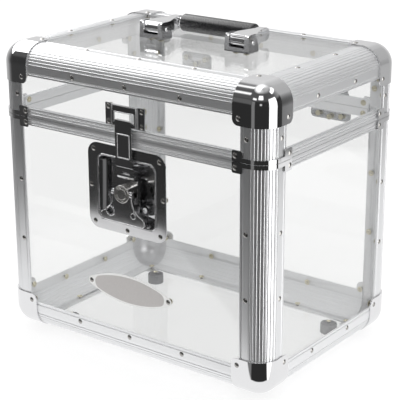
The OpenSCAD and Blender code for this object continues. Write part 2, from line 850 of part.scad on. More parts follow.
// The hook: two knuckles, a joggle out of the dish, a flanged arm with a raised
// field, and a lip at the top that goes into the strike plate's window
module latch_hook() {
    knuckle_in = 5.9;
    joggle_low = barrel_up + 6;
    joggle_high = barrel_up + 12;
    flange_top = strike_low - latch_z - hook_lift - 0.6;
    low_out = barrel_out + barrel_r;
    color("slategray") at_latch() difference() {
        union() {
            // arm outline in (y up, z out), swept along X
            rotate([90, 0, 90]) linear_extrude(2 * hook_half_w, center = true) polygon([
                [barrel_up + 1, low_out], [joggle_low, low_out], [joggle_high, hook_face],
                [hook_top, hook_face], [hook_top, -0.9], [hook_top - hook_t, -0.9],
                [hook_top - hook_t, hook_face - hook_t], [joggle_high + 0.3, hook_face - hook_t],
                [joggle_low + 0.3, low_out - hook_t], [barrel_up + 1, low_out - hook_t]
            ]);
            for (s = [-1, 1]) {
                translate([s * (hook_half_w - hook_t / 2), (joggle_high + flange_top) / 2,
                           (hook_flange_back + hook_face) / 2])
                    cube([hook_t, flange_top - joggle_high, hook_face - hook_flange_back], center = true);
                translate([s * (knuckle_in + hook_half_w) / 2, barrel_up, barrel_out]) rotate([0, 90, 0])
                    cylinder(r = barrel_r, h = hook_half_w - knuckle_in, center = true);
            }
            translate([0, 55.6, hook_face - 0.2]) linear_extrude(0.8) rounded_rect(18.4, 29, 1.5);
        }
        // room for the draw plate's knuckle
        translate([-knuckle_in, barrel_up - 6, -12]) cube([2 * knuckle_in, 11, 20]);
        translate([0, barrel_up, barrel_out]) rotate([0, 90, 0])
            cylinder(r = hook_pin_r + running_gap, h = 40, center = true);
    }
}

// The strike plate on the lid: riveted flanges and a raised bridge with a window
module strike_plate() {
    foot = 20;
    rise = 18.1;
    slope = 0.6;
    back = strike_face - strike_t;
    color("slategray") on_feet() difference() {
        translate([0, -half_d, strike_low]) mirror([0, 1, 0]) linear_extrude(strike_high - strike_low)
            polygon([
                [-strike_half_w, strike_t - panel_in], [-foot, strike_t - panel_in],
                [-rise, strike_face], [rise, strike_face], [foot, strike_t - panel_in],
                [strike_half_w, strike_t - panel_in], [strike_half_w, -panel_in],
                [foot - slope, -panel_in], [rise - slope, back], [slope - rise, back],
                [slope - foot, -panel_in], [-strike_half_w, -panel_in]
            ]);
        at_face("front", 0, (strike_window_low + strike_window_high) / 2) translate([0, 0, -4])
            linear_extrude(10)
                rounded_rect(2 * strike_window_half_w, strike_window_high - strike_window_low, 1);
        for (p = strike_rivets) at_face("front", p[0], p[1]) translate([0, 0, -4])
            cylinder(r = rivet_hole_r, h = 8);
    }
}

// ---------- hinges ----------

// A leaf's plate, outline in (u, z) with u outwards from the frame's back face;
// it lies on the rim beside the pin and on the sheet further away
module leaf_plate(width, seam_side, step_a, step_b, end) {
    on_rim = 2 * seat_gap;
    along_x(width) translate([half_d, 0]) polygon([
        [on_rim, seam_side], [on_rim + hinge_t, seam_side], [on_rim + hinge_t, step_a],
        [hinge_t - panel_in, step_b], [hinge_t - panel_in, end], [-panel_in, end],
        [-panel_in, step_b], [on_rim, step_a]
    ]);
}

// Rounds the two free corners of a leaf
module leaf_corners(width, end, up) {
    for (s = [-1, 1])
        translate([s * (width / 2 - hinge_corner), half_d + 5, end - up * hinge_corner])
            rotate([90, 0, 0]) linear_extrude(12) difference() {
                translate([s > 0 ? 0 : -hinge_corner - 1, up > 0 ? 0 : -hinge_corner - 1])
                    square(hinge_corner + 1);
                circle(hinge_corner);
            }
}

function knuckle_span(i) = [(i / 5 - 0.5) * hinge_lid_w, ((i + 1) / 5 - 0.5) * hinge_lid_w];

module knuckle(i, r, trim) {
    span = knuckle_span(i);
    translate([(span[0] + span[1]) / 2, hinge_y, seam_z]) rotate([0, 90, 0])
        cylinder(r = r, h = span[1] - span[0] - trim, center = true);
}

// Clears a leaf's plate where the other leaf's knuckle turns
module knuckle_room(i) {
    span = knuckle_span(i);
    room = hinge_barrel_r + 0.5;
    translate([span[0] - 0.2, half_d - 1, seam_z - room]) cube([span[1] - span[0] + 0.4, 12, 2 * room]);
}

module hinge_base_leaf() {
    difference() {
        union() {
            leaf_plate(hinge_base_w, base_rim_top - 0.3, 264.4, 261.6, hinge_low);
            for (i = [0, 2, 4]) knuckle(i, hinge_barrel_r, 0.2);
        }
        for (i = [1, 3]) knuckle_room(i);
        leaf_corners(hinge_base_w, hinge_low, -1);
        for (p = hinge_base_rivets) translate([p[0], half_d, p[1]]) rotate([90, 0, 0])
            cylinder(r = rivet_hole_r, h = 10, center = true);
        translate([0, hinge_y, seam_z]) rotate([0, 90, 0])
            cylinder(r = hinge_pin_r + running_gap, h = 80, center = true);
    }
}

module hinge_lid_leaf() {
    difference() {
        union() {
            leaf_plate(hinge_lid_w, lid_rim_bottom + 0.3, 285.9, 288.7, hinge_high);
            for (i = [1, 3]) knuckle(i, hinge_barrel_r, 0.4);
        }
        for (i = [0, 2, 4]) knuckle_room(i);
        leaf_corners(hinge_lid_w, hinge_high, 1);
        for (p = hinge_lid_rivets) translate([p[0], half_d, p[1]]) rotate([90, 0, 0])
            cylinder(r = rivet_hole_r, h = 10, center = true);
        translate([0, hinge_y, seam_z]) rotate([0, 90, 0])
            cylinder(r = hinge_pin_r + running_gap, h = 80, center = true);
    }
}

module hinge_base_leaves() color("darkgray") on_feet()
    for (s = [-1, 1]) translate([s * hinge_x, 0, 0]) hinge_base_leaf();

module hinge_lid_leaves() color("darkgray") on_feet()
    for (s = [-1, 1]) translate([s * hinge_x, 0, 0]) hinge_lid_leaf();

module hinge_pins() {
    color("silver") on_feet() for (s = [-1, 1]) translate([s * hinge_x, hinge_y, seam_z]) rotate([0, 90, 0]) {
        cylinder(r = hinge_pin_r, h = hinge_lid_w, center = true);
        for (m = [0, 1]) mirror([0, 0, m]) translate([0, 0, hinge_lid_w / 2]) cylinder(r = 2.6, h = 1);
    }
}

// ---------- handle ----------

// A bracket over the origin: a floor, two cheeks and a front plate that is open
// at the top, so that the arm's nose shows between its two legs
module handle_bracket() {
    inner_w = bracket_w - 2 * cheek_t;
    bend = 3;
    difference() {
        intersection() {
            translate([0, bracket_rear, panel_top]) rotate([90, 0, 0])
                linear_extrude(bracket_rear - bracket_front)
                    polygon([[-bracket_w / 2, 0], [bracket_w / 2, 0],
                             [bracket_top_w / 2, bracket_h], [-bracket_top_w / 2, bracket_h]]);
            // side view: the front plate's upper end bends back
            translate([0, 0, panel_top]) along_x(2 * bracket_w) {
                translate([bracket_front, -1]) square([40, bracket_h + 1 - bend]);
                translate([bracket_front + bend, -1]) square([40, bracket_h + 1]);
                translate([bracket_front + bend, bracket_h - bend]) circle(bend);
            }
        }
        translate([-inner_w / 2, bracket_front + bracket_t, panel_top + bracket_t])
            cube([inner_w, 30, bracket_h]);
        // the cheeks lean back from the floor
        translate([-bracket_w, bracket_rear, panel_top + 5]) rotate([12, 0, 0]) cube([2 * bracket_w, 10, 30]);
        translate([0, bracket_front - 1, panel_top + window_low + bracket_h / 2]) rotate([-90, 0, 0])
            linear_extrude(bracket_t + 3) rounded_rect(window_w, bracket_h, 1);
        translate([0, 0, pivot_z]) rotate([0, 90, 0])
            cylinder(r = handle_pin_r + running_gap, h = 60, center = true);
        for (x = bracket_rivets) translate([x, 0, panel_top - 1]) cylinder(r = rivet_hole_r, h = 5);
    }
}

module handle_brackets() color("gainsboro") on_feet()
    for (s = [-1, 1]) translate([s * bracket_x, 0, 0]) handle_bracket();

module handle_pins() {
    color("silver") on_feet() for (s = [-1, 1]) translate([s * bracket_x, 0, pivot_z]) rotate([0, 90, 0]) {
        cylinder(r = handle_pin_r, h = bracket_w - 1, center = true);
        for (m = [0, 1]) mirror([0, 0, m]) translate([0, 0, bracket_w / 2 - 0.5]) dome(3, 1);
    }
}

// One arm on the plus side: its side view is a bar with round ends, its top
// view narrows from the bracket to the grip
module handle_arm() {
    root_in = bracket_x - arm_root_half_w;
    root_out = bracket_x + arm_root_half_w;
    waist_y = 11;
    neck_y = handle_reach - 9;
    tip_y = handle_reach + arm_r + 1;
    difference() {
        union() {
            intersection() {
                translate([bracket_x, 0, 0]) along_x(4 * arm_root_half_w) {
                    translate([0, pivot_z]) circle(arm_r);
                    translate([handle_reach, grip_z]) circle(arm_r);
                    polygon([[0, pivot_z - arm_r], [handle_reach, grip_z - arm_r],
                             [handle_reach, grip_z + arm_r], [0, pivot_z + arm_r]]);
                }
                translate([0, 0, pivot_z - 20]) linear_extrude(40) polygon([
                    [root_in, -arm_r - 1], [root_out, -arm_r - 1], [root_out, waist_y],
                    [arm_tip_out, neck_y], [arm_tip_out, tip_y], [arm_tip_in, tip_y],
                    [arm_tip_in, neck_y], [root_in, waist_y]
                ]);
            }
            translate([grip_half, handle_reach, grip_z]) rotate([0, 90, 0])
                cylinder(r = collar_r, h = arm_tip_in - grip_half + 1);
        }
        translate([0, 0, pivot_z]) rotate([0, 90, 0]) cylinder(r = handle_pin_r + running_gap, h = 200);
        translate([0, handle_reach, grip_z]) rotate([0, 90, 0])
            cylinder(r = rod_r + running_gap, h = arm_tip_out - 3);
    }
}

module handle_arms() color("gainsboro") on_feet() for (s = [0, 1]) mirror([s, 0, 0]) handle_arm();

module handle_rod() {
    color("silver") on_feet() translate([0, handle_reach, grip_z]) rotate([0, 90, 0])
        cylinder(r = rod_r, h = 2 * (arm_tip_out - 3.5), center = true);
}

// The grip: a barrel with rounded ends, bored for the rod
module handle_grip() {
    edge = 2;
    color("black") on_feet() translate([0, handle_reach, grip_z]) rotate([0, 90, 0]) rotate_extrude() {
        translate([rod_r + running_gap, edge - grip_half])
            square([grip_r - rod_r - running_gap, 2 * (grip_half - edge)]);
        translate([rod_r + running_gap, -grip_half])
            square([grip_r - edge - rod_r - running_gap, 2 * grip_half]);
        for (s = [-1, 1]) translate([grip_r - edge, s * (grip_half - edge)]) circle(edge);
    }
}

// ---------- the assembly ----------

bottom_panel();
base_front_panel();
base_panel("back");  // base_back_panel
base_panel("left");  // base_left_panel
base_panel("right");  // base_right_panel
long_angle(-1, -1, BASE_RIVETS);  // bottom_front_angle
long_angle(1, -1, BASE_RIVETS);  // bottom_back_angle
side_angle(-1, -1, BASE_RIVETS);  // bottom_left_angle
side_angle(1, -1, BASE_RIVETS);  // bottom_right_angle
base_post(-1, -1);  // base_post_front_left
base_post(1, -1);  // base_post_front_right
base_post(-1, 1);  // base_post_back_left
base_post(1, 1);  // base_post_back_right
base_rim();
base_clamps();
base_rivets();
feet();
name_plate();
bottom_corner(-1, -1);  // bottom_corner_front_left
bottom_corner(1, -1);  // bottom_corner_front_right
bottom_corner(-1, 1);  // bottom_corner_back_left
bottom_corner(1, 1);  // bottom_corner_back_right
hinge_base_leaves();
hinge_pins();
latch_dish();
top_panel();
lid_panel("front");  // lid_front_panel
lid_panel("back");  // lid_back_panel
lid_panel("left");  // lid_left_panel
lid_panel("right");  // lid_right_panel
long_angle(-1, 1, LID_RIVETS);  // top_front_angle
long_angle(1, 1, LID_RIVETS);  // top_back_angle
side_angle(-1, 1, LID_RIVETS);  // top_left_angle
side_angle(1, 1, LID_RIVETS);  // top_right_angle
lid_post(-1, -1);  // lid_post_front_left
lid_post(1, -1);  // lid_post_front_right
lid_post(-1, 1);  // lid_post_back_left
lid_post(1, 1);  // lid_post_back_right
lid_rim();
lid_clamps();
lid_rivets();
top_corner(-1, -1);  // top_corner_front_left
top_corner(1, -1);  // top_corner_front_right
top_corner(-1, 1);  // top_corner_back_left
top_corner(1, 1);  // top_corner_back_right
hinge_lid_leaves();
strike_plate();
handle_brackets();
handle_pins();
handle_arms();
handle_rod();
handle_grip();
latch_spindle();
spindle_washer();
wing_pin();
latch_wing();
draw_plate();
hook_pin();
latch_hook();
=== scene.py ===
# %% [markdown]
# # A clear record case, dressed
# The model from the drawing arrives as a frame: every piece is already in its
# place and at its real size, in metres. This file gives the pieces their
# finishes, swaps the plainest ones for softer shapes, and sets up a small
# product studio round them.

import bpy
import bmesh
import json
from math import atan2, radians, sin, cos, pi
from mathutils import Matrix, Vector


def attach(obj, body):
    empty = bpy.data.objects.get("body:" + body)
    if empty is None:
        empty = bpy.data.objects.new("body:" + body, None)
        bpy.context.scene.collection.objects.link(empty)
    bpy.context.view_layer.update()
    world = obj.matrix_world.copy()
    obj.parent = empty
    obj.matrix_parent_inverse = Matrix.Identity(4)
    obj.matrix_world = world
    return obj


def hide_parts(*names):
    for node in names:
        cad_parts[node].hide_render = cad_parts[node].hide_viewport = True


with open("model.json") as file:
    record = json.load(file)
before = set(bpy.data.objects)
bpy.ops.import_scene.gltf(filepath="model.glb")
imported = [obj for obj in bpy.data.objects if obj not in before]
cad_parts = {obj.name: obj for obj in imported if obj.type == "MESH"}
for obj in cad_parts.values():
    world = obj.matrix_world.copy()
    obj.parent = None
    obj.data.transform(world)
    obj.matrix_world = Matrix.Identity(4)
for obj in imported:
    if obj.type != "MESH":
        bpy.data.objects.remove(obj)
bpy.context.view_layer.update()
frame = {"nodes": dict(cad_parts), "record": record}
nodes = frame["nodes"]

# %% [markdown]
# ## Places to work from
# The finishes have to know which side of a wall faces into the case, and the
# beads where a pressed plate's front lies. These places are read from the
# frame's own pieces, rounded to a thousandth of a millimetre, because the frame
# keeps its numbers in single precision.

# %% Where the walls are
def span(name, axis):
    """Where a piece starts and ends along an axis, 0 for X, 1 for Y, 2 for Z."""
    along = [v.co[axis] for v in nodes[name].data.vertices]
    return round(min(along), 6), round(max(along), 6)


def middle(name, axis):
    return sum(span(name, axis)) / 2


def front_of(name):
    return span(name, 1)[0]


walls_low, walls_high = span("base_front_panel", 2)[0], span("lid_front_panel", 2)[1]
case_middle = round((walls_low + walls_high) / 2, 6)
half_size = (
    span("top_panel", 0)[1],
    span("top_panel", 1)[1],
    round((walls_high - walls_low) / 2, 6),
)
room_inside = (
    -span("base_left_panel", 0)[1],
    -span("base_front_panel", 1)[1],
    round(span("top_panel", 2)[0] - case_middle, 6),
)
print("middle height:", case_middle, "half size:", half_size, "inside:", room_inside)

# %% [markdown]
# ## Shader maths that reads like Python
# A material is a graph of nodes. Written out by hand, a sum of two textures
# takes six lines, so this small class wraps one socket of the graph. An
# expression such as `1 - mask * 0.5` then adds the Math nodes it needs, and
# `node` adds any other kind of node. A socket is given by its name, with _ for
# a blank, or as i and its number where two sockets share a name.

# %% A socket that can be calculated with
class Signal:
    """One output socket of a node tree."""

    def __init__(self, tree, socket=None):
        self.tree = tree
        self.socket = socket

    def node(self, kind, settings=None, out=0, **inputs):
        made = self.tree.nodes.new(kind)
        for key, value in (settings or {}).items():
            if key == "stops":
                while len(made.color_ramp.elements) < len(value):
                    made.color_ramp.elements.new(1.0)
                for stop, (place, shade) in zip(made.color_ramp.elements, value):
                    stop.position = place
                    stop.color = grey(shade)
            else:
                setattr(made, key, value)
        for key, value in inputs.items():
            label = int(key[1:]) if key[1:].isdigit() else key.replace("_", " ")
            if isinstance(value, Signal):
                self.tree.links.new(value.socket, made.inputs[label])
            else:
                made.inputs[label].default_value = value
        return Signal(self.tree, made.outputs[out])

    def axes(self):
        """The X, Y and Z of a place or a direction."""
        split = self.node("ShaderNodeSeparateXYZ", Vector=self).socket.node
        return [Signal(self.tree, socket) for socket in split.outputs]

    def maths(self, operation, first, second=None):
        values = {"i0": first} if second is None else {"i0": first, "i1": second}
        return self.node("ShaderNodeMath", {"operation": operation}, **values)

    def __add__(self, other):
        return self.maths("ADD", self, other)

    def __sub__(self, other):
        return self.maths("SUBTRACT", self, other)

    def __mul__(self, other):
        return self.maths("MULTIPLY", self, other)

    def __pow__(self, other):
        return self.maths("POWER", self, other)

    def __gt__(self, other):
        return self.maths("GREATER_THAN", self, other)

    def __lt__(self, other):
        return self.maths("LESS_THAN", self, other)

    def __radd__(self, other):
        return self.maths("ADD", other, self)

    def __rsub__(self, other):
        return self.maths("SUBTRACT", other, self)

    def __rmul__(self, other):
        return self.maths("MULTIPLY", other, self)

    def __abs__(self):
        return self.maths("ABSOLUTE", self)

    def larger(self, other):
        return self.maths("MAXIMUM", self, other)

    def smaller(self, other):
        return self.maths("MINIMUM", self, other)

    def mix(self, low, high):
        """low where this value is 0, high where it is 1, both colours."""
        return self.node(
            "ShaderNodeMix", {"data_type": "RGBA"}, out=2, i0=self, i6=low, i7=high
        )


def grey(value):
    return (value, value, value, 1)


print("shader maths ready")

# %% [markdown]
# ### Small helpers for every material
# A new material starts with an empty graph. Patterns read the Object place of
# a point, and since every piece stands at the origin, that is its place on the
# case. Light Path tells which kind of ray is asking for the colour, so that the
# table and the room can look one way to the camera and another way in a mirror.

# %% Start and end of a material's graph
def new_material(name):
    """A material with an empty graph, and a Signal to start from."""
    made = bpy.data.materials.new(name)
    made.use_nodes = True
    made.node_tree.nodes.clear()
    return made, Signal(made.node_tree)


def place_on_case(start):
    return start.node("ShaderNodeTexCoord", out="Object")


def noise(start, place, scale, detail):
    return start.node("ShaderNodeTexNoise", Vector=place, Scale=scale, Detail=detail)


def bump(start, height, depth, strength=1.0):
    return start.node("ShaderNodeBump", Strength=strength, Distance=depth, Height=height)


def asked_by(start, ray):
    return start.node("ShaderNodeLightPath", out=ray)


def choose(start, part, first, second):
    """Mixes two shaders: the first where part is 0, the second where it is 1."""
    return start.node("ShaderNodeMixShader", i0=part, i1=first, i2=second)


def coat(start, **inputs):
    """Ends the graph with the general surface shader."""
    show(start, start.node("ShaderNodeBsdfPrincipled", **inputs))


def show(start, shader, output="ShaderNodeOutputMaterial"):
    start.tree.links.new(shader.socket, start.tree.nodes.new(output).inputs["Surface"])


print("helpers ready")

# %% [markdown]
# ## Metals
# Bare metals differ in two things: how pale they are and how sharply they
# mirror the room. The anodised aluminium is satin, with hair-fine lines left
# along the section by the extrusion die. The plated steel is almost a mirror,
# but a pressed sheet is never quite flat, so a very low wavy bump lets its
# reflections wander. A face that looks into the case is duller than the one
# that looks out, and it is told by its distance from the case's inner box.

# %% Which faces look into the case
def inside_of(start, place, radius):
    """1 on the faces that look into the case, 0 on those that look out of it.

    The case is a box with rounded edges, so a point belongs to the inside where
    it lies nearer than radius to the box on which those edges are centred.
    """
    kind = "ShaderNodeVectorMath"
    centre = (0, 0, case_middle)
    centred = start.node(kind, {"operation": "SUBTRACT"}, i0=place, i1=centre)
    folded = start.node(kind, {"operation": "ABSOLUTE"}, i0=centred)
    past = start.node(kind, {"operation": "SUBTRACT"}, i0=folded, i1=half_size)
    past = start.node(kind, {"operation": "MAXIMUM"}, i0=past, i1=(0, 0, 0))
    return start.node(kind, {"operation": "LENGTH"}, out="Value", i0=past) < radius


# the radius of each kind of piece lies between its inner face and its outer face
angle_wall, rim_wall, corner_wall = 0.023, 0.0215, 0.0248
print("walls at", angle_wall, rim_wall, corner_wall)

# %% A metal by its colour and its polish
def metal(name, colour, rough, spread, lines=None, waves=0.0, wave_size=60, dust=0.0, wall=None):
    """lines: stretch of the die lines along X, Y and Z; waves: height of the bump;
    wall: radius inside which the metal keeps its dull mill finish."""
    made, start = new_material(name)
    place = place_on_case(start)
    patches = noise(start, place, 38.0, 4.0)
    roughness = rough + (patches - 0.5) * spread
    shade = patches
    inputs = {"Metallic": 1.0}
    if wall:
        inside = inside_of(start, place, wall)
        roughness = roughness + inside * 0.25
        inputs["Metallic"] = 0.95 - inside * 0.85
    if lines:
        shade = noise(start, start.node("ShaderNodeMapping", i0=place, i3=lines), 1.0, 3.0)
        roughness = roughness + (shade - 0.5) * spread
        inputs["Normal"] = bump(start, shade, 0.0001, strength=0.05)
    if waves:
        inputs["Normal"] = bump(start, noise(start, place, float(wave_size), 1.0), waves)
    dusty = tuple(part * (1 - dust) for part in colour)
    base = (shade * 1.6 - 0.3).mix(dusty + (1,), colour + (1,))
    coat(start, Base_Color=base, Roughness=roughness, **inputs)
    return made


print("metal recipe ready")

# %% [markdown]
# ### Satin aluminium
# The sections are anodised and satin. Their die lines are noise that is
# stretched: very fine across the section and long along it. The upright posts
# are smoother than the level rails, and their colour is a painted shade darker,
# because they face the dark room in front.

# %% Angles, posts and rims
across, along = 6000.0, 25.0
# the posts' darker silver is painted shade: the same aluminium as the rails, darkened for the dim
# light they face
shaded_silver, pale = (0.85, 0.855, 0.865), (0.93, 0.935, 0.945)
satin = {
    axis: metal(
        "fluted_aluminium_" + axis, colour, rough, spread, lines, dust=0.03, wall=angle_wall
    )
    for axis, colour, rough, spread, lines in (
        ("x", pale, 0.44, 0.06, (along, across, across)),
        ("y", pale, 0.48, 0.06, (across, along, across)),
        ("z", shaded_silver, 0.35, 0.05, (across, across, along)),
    )
}
rim_metal = metal("rim_aluminium", pale, 0.42, 0.08, dust=0.03, wall=rim_wall)
print("satin metals:", len(bpy.data.materials))

# %% [markdown]
# ### Bright and turned steel
# The clamps, the latch and the handle are plated, and mirror the room almost
# sharply. The hinges are dull zinc, and the hub and the pins are turned or
# drawn, so they blur what they mirror.

# %% Plated, turned and drawn pieces
def plated(name, colour, rough, spread, waves, wave_size, dust):
    return metal(name, colour, rough, spread, waves=waves, wave_size=wave_size, dust=dust)


clamp_metal = plated("bright_clamp", (0.78, 0.78, 0.79), 0.06, 0.03, 0.00003, 90, 0.03)
latch_metal = plated("bright_latch", (0.70, 0.70, 0.71), 0.08, 0.04, 0.00002, 80, 0.05)
dish_metal = plated("dish_plate", (0.66, 0.66, 0.67), 0.10, 0.04, 0.00003, 50, 0.06)
handle_metal = plated("bright_handle", (0.80, 0.80, 0.81), 0.06, 0.03, 0.00002, 60, 0.02)
hinge_metal = plated("zinc_hinge", (0.74, 0.75, 0.76), 0.20, 0.08, 0.00002, 90, 0.06)
hub_metal = metal("turned_hub", (0.68, 0.67, 0.65), 0.17, 0.10, dust=0.10)
pin_metal = metal("drawn_pin", (0.70, 0.70, 0.71), 0.20, 0.08, dust=0.05)
print("metals:", len(bpy.data.materials))

# %% [markdown]
# ### Corner shells
# A corner shell is polished outside only. Inside it keeps the dull face of the
# pressing, which shows through the clear sheets as a soft bright ball. The
# polish is the highest on the case, so its roughness is almost nothing.

# %% Corner shell metal
def corner_finish():
    made, start = new_material("bright_corner")
    place = place_on_case(start)
    inside = inside_of(start, place, corner_wall)
    patches = noise(start, place, 40.0, 3.0)
    coat(
        start,
        Base_Color=patches.mix((0.77, 0.77, 0.78, 1), (0.81, 0.81, 0.82, 1)),
        Metallic=1.0 - inside * 0.4,
        Roughness=0.035 + patches * 0.03 + inside * 0.28,
        Normal=bump(start, noise(start, place, 45.0, 1.0), 0.00002),
    )
    return made


corner_metal = corner_finish()
print("corner shells:", corner_metal.name)

# %% [markdown]
# ### Rivets
# A rivet's head is steel, but the washer under its tail is pale brass. Both
# are one piece here, so the material finds the inside of the case from the
# place of the point and turns brassy there.

# %% Rivet metal
def rivet_finish():
    made, start = new_material("rivet_steel")
    place = place_on_case(start)
    x, y, z = place.axes()
    behind_sheet = [depth + 0.0003 for depth in room_inside]
    inside = (abs(x) < behind_sheet[0]) * (abs(y) < behind_sheet[1])
    inside = inside * (abs(z - case_middle) < behind_sheet[2])
    grain = noise(start, place, 700.0, 3.0)
    steel = grain.mix((0.36, 0.35, 0.34, 1), (0.48, 0.47, 0.45, 1))
    brass = grain.mix((0.62, 0.57, 0.42, 1), (0.74, 0.70, 0.55, 1))
    coat(
        start,
        Base_Color=inside.mix(steel, brass),
        Metallic=1.0,
        Roughness=0.14 + inside * 0.2,
    )
    return made


rivet_metal = rivet_finish()
print("rivets:", rivet_metal.name)

# %% [markdown]
# ## Clear sheet
# Acrylic only shows by what it mirrors: little when it is seen straight on,
# and much at a glancing angle. Layer Weight gives that angle, and the fifth
# power of it is Schlick's rule for clear plastic. The rest is see-through. A
# ray may pass only eight clear faces before it turns black, so once it has
# passed seven, the sheet glows a painted pale grey that stands for the light
# lying behind them all.

# %% Acrylic
def clear_finish():
    made, start = new_material("clear_sheet")
    glance = start.node("ShaderNodeLayerWeight", out="Facing", Blend=0.5)
    mirrored = 0.04 + 0.96 * glance**5
    through = start.node("ShaderNodeBsdfTransparent", Color=(0.966, 0.967, 0.966, 1))
    gloss = start.node(
        "ShaderNodeBsdfPrincipled", Base_Color=grey(1.0), Metallic=1.0, Roughness=0.015
    )
    sheet = choose(start, mirrored, through, gloss)
    faces_passed = asked_by(start, "Transparent Depth")
    # painted glow: an emission that stands in for the light seen through the last sheets
    painted_glow_behind = start.node("ShaderNodeEmission", Color=grey(0.85), Strength=1.0)
    show(start, choose(start, faces_passed > 6.5, sheet, painted_glow_behind))
    return made


clear_sheet = clear_finish()
print("sheet:", clear_sheet.name)

# %% [markdown]
# ## Rubber and grip
# The feet are grey rubber with a fine grain. The grip is a hard black plastic
# with a gloss that mirrors the room more than plain plastic would, which is
# what a higher index of refraction does.

# %% Moulded pieces
def moulded(name, dark, light, rough, depth, grain_size, refraction):
    made, start = new_material(name)
    place = place_on_case(start)
    grain = noise(start, place, grain_size, 4.0)
    coat(
        start,
        Base_Color=noise(start, place, 45.0, 2.0).mix(dark, light),
        Roughness=rough + (grain - 0.5) * 0.1,
        IOR=refraction,
        Normal=bump(start, grain, depth, strength=0.3),
    )
    return made


foot_rubber = moulded(
    "foot_rubber", (0.15, 0.15, 0.16, 1), (0.21, 0.21, 0.22, 1), 0.6, 0.0002, 1500.0, 1.45
)
grip_plastic = moulded(
    "grip_plastic", (0.006, 0.006, 0.007, 1), (0.012, 0.012, 0.014, 1), 0.27, 0.00005, 1100.0, 1.9
)
print("moulded:", foot_rubber.name, grip_plastic.name)

# %% [markdown]
# ## Oval plate
# The plate low on the front has a pale border round a warm grey field. The
# field is printed in a thick coat, so it stands a little in front of the border,
# and the material can tell the two apart by their depth.

# %% Plate
plate_front = front_of("name_plate")


def plate_finish():
    made, start = new_material("name_plate")
    place = place_on_case(start)
    printed = place.axes()[1] < plate_front - 0.00003
    field = noise(start, place, 420.0, 3.0).mix((0.49, 0.47, 0.46, 1), (0.56, 0.54, 0.53, 1))
    coat(
        start,
        Base_Color=printed.mix((0.86, 0.86, 0.85, 1), field),
        Metallic=0.25,
        Roughness=0.42,
    )
    return made


plate_metal = plate_finish()
print("plate's front at y =", plate_front)

# %% [markdown]
# ## Finishes on the pieces
# The name of a piece says what it is made of, so a list of words is enough. A
# long section takes the satin metal whose die lines run along it. Small pins,
# the rod and the washer are drawn steel, which is what is left.

# %% Put the finishes on
finish_of_word = {
    "panel": clear_sheet,
    "post": satin["z"],
    "front_angle": satin["x"],
    "back_angle": satin["x"],
    "left_angle": satin["y"],
    "right_angle": satin["y"],
    "corner": corner_metal,
    "rim": rim_metal,
    "clamps": clamp_metal,
    "rivets": rivet_metal,
    "leaves": hinge_metal,
    "latch_dish": dish_metal,
    "strike_plate": dish_metal,
    "latch_wing": latch_metal,
    "latch_hook": latch_metal,
    "draw_plate": latch_metal,
    "latch_spindle": latch_metal,
    "handle_brackets": handle_metal,
    "handle_arms": handle_metal,
    "handle_grip": grip_plastic,
    "feet": foot_rubber,
    "name_plate": plate_metal,
}
for name, piece in nodes.items():
    finish = next((made for word, made in finish_of_word.items() if word in name), pin_metal)
    piece.data.materials.clear()
    piece.data.materials.append(finish)
print("finished pieces:", len(nodes))

# %% [markdown]
# ## Edges that catch the light
# No pressed or cast piece has a knife edge, and on bright metal the rounded
# edge is what the eye sees: a thin line that mirrors another part of the room.
# The drawing's pieces have sharp edges, because rounding each one there would
# be slow and would hide the sizes. So here a copy of a piece is welded, its
# flat faces are joined again, and the edges that `pick` chooses are bevelled.
# Weighted normals keep the flat faces flat beside the round edges.

# %% A softened copy of a piece
def fold(edge):
    return edge.calc_face_angle(0.0) if edge.is_manifold else 0.0


def welded(name):
    shape = bmesh.new()
    shape.from_mesh(nodes[name].data)
    bmesh.ops.remove_doubles(shape, verts=shape.verts, dist=0.000002)
    bmesh.ops.dissolve_limit(
        shape,
        angle_limit=radians(0.6),
        verts=shape.verts,
        edges=shape.edges,
        use_dissolve_boundaries=False,
    )
    return shape


def round_edges(shape, width, segments, pick=None):
    """Bevels the edges that fold by more than 40 degrees and that pick accepts."""
    shape.normal_update()
    sharp = [e for e in shape.edges if fold(e) > radians(40) and (pick is None or pick(e))]
    bmesh.ops.bevel(
        shape,
        geom=sharp,
        affect="EDGES",
        offset=width,
        segments=segments,
        profile=0.5,
        material=-1,
        clamp_overlap=True,
    )
    bmesh.ops.remove_doubles(shape, verts=shape.verts, dist=0.000005)
    return len(sharp)


print("shape tools ready")

# %% From a shape to a piece
body_of = {
    node: body
    for body, members in frame["record"]["behaviour"]["bodies"].items()
    for node in members
}


def piece_from(name, shape, finish):
    """Makes a finished bmesh an object of the scene."""
    mesh = bpy.data.meshes.new(name)
    shape.to_mesh(mesh)
    shape.free()
    mesh.materials.append(finish)
    piece = bpy.data.objects.new(name, mesh)
    bpy.context.collection.objects.link(piece)
    return piece


def dressed(name, shape, finish):
    """Turns a finished bmesh into the piece that stands for the drawing's node."""
    piece = piece_from("dressed_" + name, shape, finish)
    piece.data.shade_smooth()
    piece.data.set_sharp_from_angle(angle=radians(50))
    even = piece.modifiers.new("even_normals", "WEIGHTED_NORMAL")
    even.keep_sharp = True
    even.weight = 50
    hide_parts(name)
    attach(piece, body_of[name])
    return piece


print("bodies:", sorted(set(body_of.values())))

# %% [markdown]
# ## The handle
# The two arms are die castings with generous corners, and the brackets are
# folded from thick plate. Both are chromed, so a soft edge matters here: wide
# on the castings and narrow on the plate.

# %% Handle arms and brackets
for name, width, segments in (("handle_arms", 0.0016, 4), ("handle_brackets", 0.0005, 3)):
    shape = welded(name)
    count = round_edges(shape, width, segments)
    dressed(name, shape, handle_metal)
    print(name, "edges rounded:", count)

# %% [markdown]
# ## The latch
# Every piece of the latch is pressed from thin sheet, and the press stiffens
# it with a rolled bead. A bead is made here as a round tube that is swept along
# an outline of the piece's own front face, half sunk in the sheet. The outline
# is found by insetting that face by about the bead's radius, so the bead ends
# flush with the edge of the sheet.

# %% Outlines of a pressed face
same_depth = 0.00003


def lies_at(edge, y):
    return all(abs(v.co.y - y) < same_depth for v in edge.verts)


